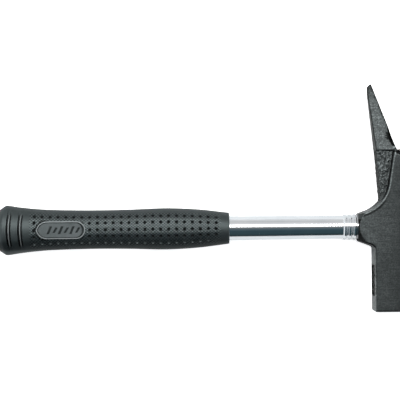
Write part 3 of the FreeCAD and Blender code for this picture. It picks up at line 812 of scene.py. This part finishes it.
def rubber_material(name, dark, light, rough=0.24, dimpled=True):
    """Black moulded rubber: mottled, with a fine grain and a diagonal cross-hatch where the dimples are."""
    result, tree, shader, coords = material(name, IOR=1.5, Specular_Tint=(0.86, 1.0, 1.0, 1.0))
    link = tree.links.new
    grain = noise_texture(tree, coords, 2600, 3)
    cloud = noise_texture(tree, coords, 90, 5)
    tone = ramp(tree, cloud, (0.3, dark), (0.7, light))
    tone = mix(tree, math_node(tree, "MULTIPLY", grain, 0.1), tone, tuple(3 * c for c in light))
    roughness = math_node(tree, "ADD", math_node(tree, "MULTIPLY", cloud, 0.12), rough)
    roughness = math_node(tree, "ADD", roughness, math_node(tree, "MULTIPLY", grain, 0.08))
    surface = None
    if dimpled:
        parts = add(tree, "ShaderNodeSeparateXYZ", {"Vector": coords})
        y = math_node(tree, "SUBTRACT", parts.outputs[1], BUTT.y)
        z = math_node(tree, "ABSOLUTE", math_node(tree, "SUBTRACT", parts.outputs[2], BUTT.z))
        around = math_node(tree, "MULTIPLY", math_node(tree, "ARCTAN2", y, z), GRIP_ARC * MM)
        waves = []
        for operation in ("ADD", "SUBTRACT"):
            diagonal = math_node(tree, operation, parts.outputs[0], around)
            phase = math_node(tree, "MULTIPLY", diagonal, 2 * math.pi / HATCH_PITCH)
            waves.append(math_node(tree, "SINE", phase))
        hatch = math_node(tree, "ADD", waves[0], waves[1])
        zone = add(tree, "ShaderNodeAttribute", attribute_name="hatch").outputs["Fac"]
        pit = add(tree, "ShaderNodeAttribute", attribute_name="pit").outputs["Fac"]
        # Painted shade: the marked pits, slots and recesses are darkened towards black.
        tone = mix(tree, math_node(tree, "MULTIPLY", pit, 0.9), tone, (0.001, 0.001, 0.001))
        rib_highlight = add(tree, "ShaderNodeAttribute", attribute_name="rib_highlight").outputs["Fac"]
        # Painted highlight along the slots' ridges.
        tone = mix(tree, rib_highlight, tone, (0.16, 0.165, 0.168))
        hatched = math_node(tree, "MULTIPLY", hatch, zone)
        gloss = math_node(tree, "ADD", 0.72, math_node(tree, "MULTIPLY", hatched, 0.26))
        # Painted shade: the flank's gloss is cut.
        flank = add(tree, "ShaderNodeAttribute", attribute_name="flank").outputs["Fac"]
        flank_painted_shade = math_node(tree, "SUBTRACT", 1.0, math_node(tree, "MULTIPLY", flank, 0.65))
        gloss = math_node(tree, "MULTIPLY", gloss, flank_painted_shade)
        # Painted shade also cuts the gloss in the pits.
        gloss = math_node(tree, "SUBTRACT", gloss, math_node(tree, "MULTIPLY", pit, 0.58))
        link(gloss, shader.inputs["Specular IOR Level"])
        surface = bump(tree, hatched, 0.056 * MM, 1.0)
        smooth_end = math_node(tree, "MULTIPLY", math_node(tree, "SUBTRACT", 1.0, zone), 0.16)
        roughness = math_node(tree, "ADD", roughness, smooth_end)
        roughness = math_node(tree, "SUBTRACT", roughness, math_node(tree, "MULTIPLY", pit, 0.12))
    link(tone, shader.inputs["Base Color"])
    link(roughness, shader.inputs["Roughness"])
    link(bump(tree, grain, 0.03 * MM, 0.5, surface), shader.inputs["Normal"])
    return result


def chrome_material():
    """Bright chrome on a drawn tube: fine polishing rings, faint smudges."""
    result, tree, shader, coords = material("bright_chrome", Metallic=1.0)
    link = tree.links.new
    smudge = noise_texture(tree, coords, 60, 5)
    rings = noise_texture(tree, stretched(tree, coords, (900, 12, 12)), 3, 2)
    link(ramp(tree, smudge, (0.3, (0.8, 0.83, 0.86)), (0.7, (0.88, 0.9, 0.92))), shader.inputs["Base Color"])
    rough = math_node(tree, "ADD", math_node(tree, "MULTIPLY", smudge, 0.08), 0.03)
    link(math_node(tree, "ADD", rough, math_node(tree, "MULTIPLY", rings, 0.05)), shader.inputs["Roughness"])
    lines = noise_texture(tree, stretched(tree, coords, (4, 500, 500)), 2, 2)
    soft = bump(tree, lines, 0.01 * MM, 0.35)
    link(bump(tree, rings, 0.004 * MM, 0.3, soft), shader.inputs["Normal"])
    return result


def lacquer_material():
    """Thin black lacquer over forged and ground steel: brushed cheeks, scaly web, dark glossy walls."""
    tint = (0.9, 1.0, 1.0, 1.0)
    result, tree, shader, coords = material("black_lacquered_steel", IOR=1.5, Specular_Tint=tint)
    link = tree.links.new
    # The tone attribute carries painted highlights, sheen, reflection and shade from mark_head as well as the
    # lacquer's own tone.
    tone, gloss, coarseness, scaly = (
        add(tree, "ShaderNodeAttribute", attribute_name=name).outputs["Fac"]
        for name in ("tone", "gloss", "coarseness", "scaly")
    )
    cloud = noise_texture(tree, coords, 110, 6, 0.65)
    speck = noise_texture(tree, coords, 1100, 4)
    scale_noise = noise_texture(tree, coords, 620, 4, 0.6)
    lines = noise_texture(tree, stretched(tree, coords, (60, 1100, 60)), 1.5, 4, 0.6)
    patches = math_node(tree, "ADD", math_node(tree, "MULTIPLY", cloud, 0.7), 0.3)
    streaks = ramp(tree, lines, (0.3, 0.6), (0.5, 1.0), (0.7, 1.42))
    flecks = ramp(tree, speck, (0.36, 0.6), (0.5, 1.0), (0.64, 1.6))
    streaks = math_node(tree, "MULTIPLY", streaks, flecks)
    grains = math_node(tree, "ADD", math_node(tree, "MULTIPLY", scale_noise, 0.9), 0.55)
    worms = ramp(tree, noise_texture(tree, coords, 950, 2, 0.5), (0.38, 0.12), (0.52, 0.9), (0.64, 2.2))
    worms = math_node(tree, "MULTIPLY", math_node(tree, "SUBTRACT", worms, 1.0), scaly)
    grains = math_node(tree, "MULTIPLY", grains, math_node(tree, "ADD", worms, 1.0))
    share = math_node(tree, "MULTIPLY", math_node(tree, "MULTIPLY", patches, streaks), grains)
    lightness = math_node(tree, "MULTIPLY", math_node(tree, "MULTIPLY", tone, share), 1.55)
    colour = add(tree, "ShaderNodeCombineColor")
    for socket, share_of_white in zip(colour.inputs, tint):
        link(math_node(tree, "MULTIPLY", lightness, share_of_white), socket)
    link(colour.outputs[0], shader.inputs["Base Color"])
    sheen = math_node(tree, "ADD", math_node(tree, "MULTIPLY", streaks, 0.45), 0.55)
    link(math_node(tree, "MULTIPLY", gloss, sheen), shader.inputs["Specular IOR Level"])
    rough = math_node(tree, "ADD", math_node(tree, "MULTIPLY", cloud, 0.12), coarseness)
    centred_speck = math_node(tree, "SUBTRACT", speck, 0.5)
    rough = math_node(tree, "ADD", rough, math_node(tree, "MULTIPLY", centred_speck, 0.15))
    link(rough, shader.inputs["Roughness"])
    forged = bump(tree, scale_noise, 0.09 * MM, 0.5)
    ground = bump(tree, lines, 0.03 * MM, 0.5, forged)
    link(bump(tree, speck, 0.045 * MM, 0.5, ground), shader.inputs["Normal"])
    return result


def steel_material(name, colour, rough):
    """Plain turned or ground steel with fine rings, for the plug and the magnet."""
    result, tree, shader, coords = material(name, Metallic=1.0)
    link = tree.links.new
    rings = noise_texture(tree, stretched(tree, coords, (40, 900, 900)), 2, 3)
    stain = noise_texture(tree, coords, 300, 5)
    dark = tuple(c * 0.6 for c in colour)
    link(ramp(tree, stain, (0.3, dark), (0.7, colour)), shader.inputs["Base Color"])
    link(math_node(tree, "ADD", math_node(tree, "MULTIPLY", stain, 0.25), rough), shader.inputs["Roughness"])
    link(bump(tree, rings, 0.02 * MM, 0.6), shader.inputs["Normal"])
    return result


def wood_material():
    """Beech dowel with its grain along the handle."""
    result, tree, shader, coords = material("beech", Roughness=0.6)
    link = tree.links.new
    fibres = noise_texture(tree, stretched(tree, coords, (25, 900, 900)), 1.5, 6)
    flecks = noise_texture(tree, stretched(tree, coords, (120, 1600, 1600)), 2, 2)
    tone = ramp(tree, fibres, (0.3, (0.42, 0.25, 0.13)), (0.7, (0.62, 0.42, 0.25)))
    dark_fleck = ramp(tree, flecks, (0.6, 0.0), (0.7, 0.6))
    link(mix(tree, dark_fleck, tone, (0.3, 0.16, 0.08)), shader.inputs["Base Color"])
    link(bump(tree, fibres, 0.05 * MM, 0.6), shader.inputs["Normal"])
    return result


def plastic_material():
    """Black moulded plastic for the plug in the tube's lower end."""
    result, tree, shader, coords = material("plug_plastic", IOR=1.46)
    link = tree.links.new
    grain = noise_texture(tree, coords, 1800, 4)
    tone = ramp(tree, grain, (0.3, (0.018, 0.018, 0.02)), (0.7, (0.035, 0.035, 0.038)))
    link(tone, shader.inputs["Base Color"])
    link(math_node(tree, "ADD", math_node(tree, "MULTIPLY", grain, 0.2), 0.4), shader.inputs["Roughness"])
    link(bump(tree, grain, 0.02 * MM, 0.5), shader.inputs["Normal"])
    return result


def floor_material():
    """Smooth white table top, lit from below as well for the picture, so that it shows little shadow."""
    result, tree, shader, coords = material("white_table", Roughness=0.7)
    link = tree.links.new
    cloud = noise_texture(tree, coords, 3, 3)
    shader.inputs["Emission Color"].default_value = (1, 1, 1, 1)
    path = add(tree, "ShaderNodeLightPath")
    white = ramp(tree, cloud, (0.3, 0.86), (0.7, 0.9))
    link(mix(tree, path.outputs["Is Glossy Ray"], white, (0.7, 0.71, 0.71)), shader.inputs["Base Color"])
    link(math_node(tree, "MULTIPLY", path.outputs["Is Camera Ray"], 0.85), shader.inputs["Emission Strength"])
    return result


def set_material(obj, *finishes):
    obj.data.materials.clear()
    for finish in finishes:
        obj.data.materials.append(finish)


# ---------------------------------------------------------------- studio


def studio():
    """White table, and a sky of one big soft light on the pick's side with a dark side opposite."""
    half = 6.0
    mesh = bpy.data.meshes.new("table_top")
    z = CAD_BOX[0].z - 0.0002
    corners = [(-half, -half, z), (half, -half, z), (half, half, z), (-half, half, z)]
    mesh.from_pydata(corners, [], [(0, 1, 2, 3)])
    floor = bpy.data.objects.new("table_top", mesh)
    bpy.context.scene.collection.objects.link(floor)
    set_material(floor, floor_material())

    world = bpy.data.worlds.new("soft_studio")
    bpy.context.scene.world = world
    world.use_nodes = True
    tree = world.node_tree
    direction = add(tree, "ShaderNodeTexCoord").outputs["Generated"]
    parts = add(tree, "ShaderNodeSeparateXYZ", {"Vector": direction})
    tilt = math_node(tree, "ARCTAN2", parts.outputs[1], parts.outputs[2])
    share = math_node(tree, "ADD", math_node(tree, "DIVIDE", tilt, math.pi), 0.5)

    def at(degrees):
        return degrees / 180 + 0.5

    sky = ramp(
        tree,
        share,
        (at(-89), 0.05),
        (at(-84), (0.0016, 0.0024, 0.0027)),
        (at(-60), (0.0028, 0.0052, 0.006)),
        (at(-28), (0.003, 0.0056, 0.0068)),
        (at(-8), (0.008, 0.011, 0.0125)),
        (at(2), 0.017),
        (at(13), 0.07),
        (at(16), 1.0),
        (at(25), 1.0),
        (at(29), 0.085),
        (at(42), 0.062),
        (at(58), 0.05),
        (at(74), 0.056),
        (at(89), 0.07),
    )
    endways = math_node(tree, "ABSOLUTE", parts.outputs[0])
    sky = mix(tree, ramp(tree, endways, (0.42, 0.0), (0.7, 1.0)), sky, (0.075, 0.078, 0.08))
    seen = add(tree, "ShaderNodeLightPath").outputs["Is Camera Ray"]
    colour = mix(tree, seen, sky, (0.078, 0.078, 0.078))
    background = tree.nodes["Background"]
    tree.links.new(colour, background.inputs["Color"])
    background.inputs["Strength"].default_value = KEY_BRIGHTNESS


def camera():
    """Straight above a point between the handle and the pick, a metre away, turned very slightly."""
    data = bpy.data.cameras.new("camera")
    data.sensor_width = 36
    distance = 1.020
    seen_width = 0.308
    data.lens = data.sensor_width * distance / seen_width
    obj = bpy.data.objects.new("camera", data)
    obj.location = BUTT + Vector((157.3 * MM, 21.9 * MM, distance))
    obj.rotation_euler = (0, 0, math.radians(-0.6))
    bpy.context.scene.collection.objects.link(obj)
    bpy.context.scene.camera = obj


def main():
    camera()
    bpy.context.scene.view_settings.view_transform = "Standard"

    grip = grip_body()
    add_badges(grip)
    tidy_mesh(grip, math.radians(38))
    set_material(
        grip,
        rubber_material("moulded_rubber", (0.0035, 0.0048, 0.0052), (0.008, 0.0105, 0.0112)),
        rubber_material("badge_plate", (0.036, 0.041, 0.042), (0.075, 0.082, 0.084), 0.34, False),
        # The rim's light grey is a painted highlight on the raised rim.
        rubber_material("badge_rim_painted_highlight", (0.16, 0.17, 0.172), (0.22, 0.235, 0.238), 0.3, False),
    )
    mark_grip(grip)
    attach(grip, "root")
    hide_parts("grip")

    tube = lathe("chromed_handle", tube_profile())
    set_material(tube, chrome_material())
    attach(tube, "root")
    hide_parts("handle_tube")

    head = head_forging()
    set_material(head, lacquer_material())
    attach(head, "root")
    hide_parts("head")

    set_material(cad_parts["expander_plug"], steel_material("turned_steel", (0.45, 0.45, 0.46), 0.25))
    set_material(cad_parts["nail_magnet"], steel_material("nickelled_magnet", (0.6, 0.6, 0.58), 0.2))
    set_material(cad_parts["damping_dowel"], wood_material())
    set_material(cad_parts["butt_plug"], plastic_material())
    studio()


main()
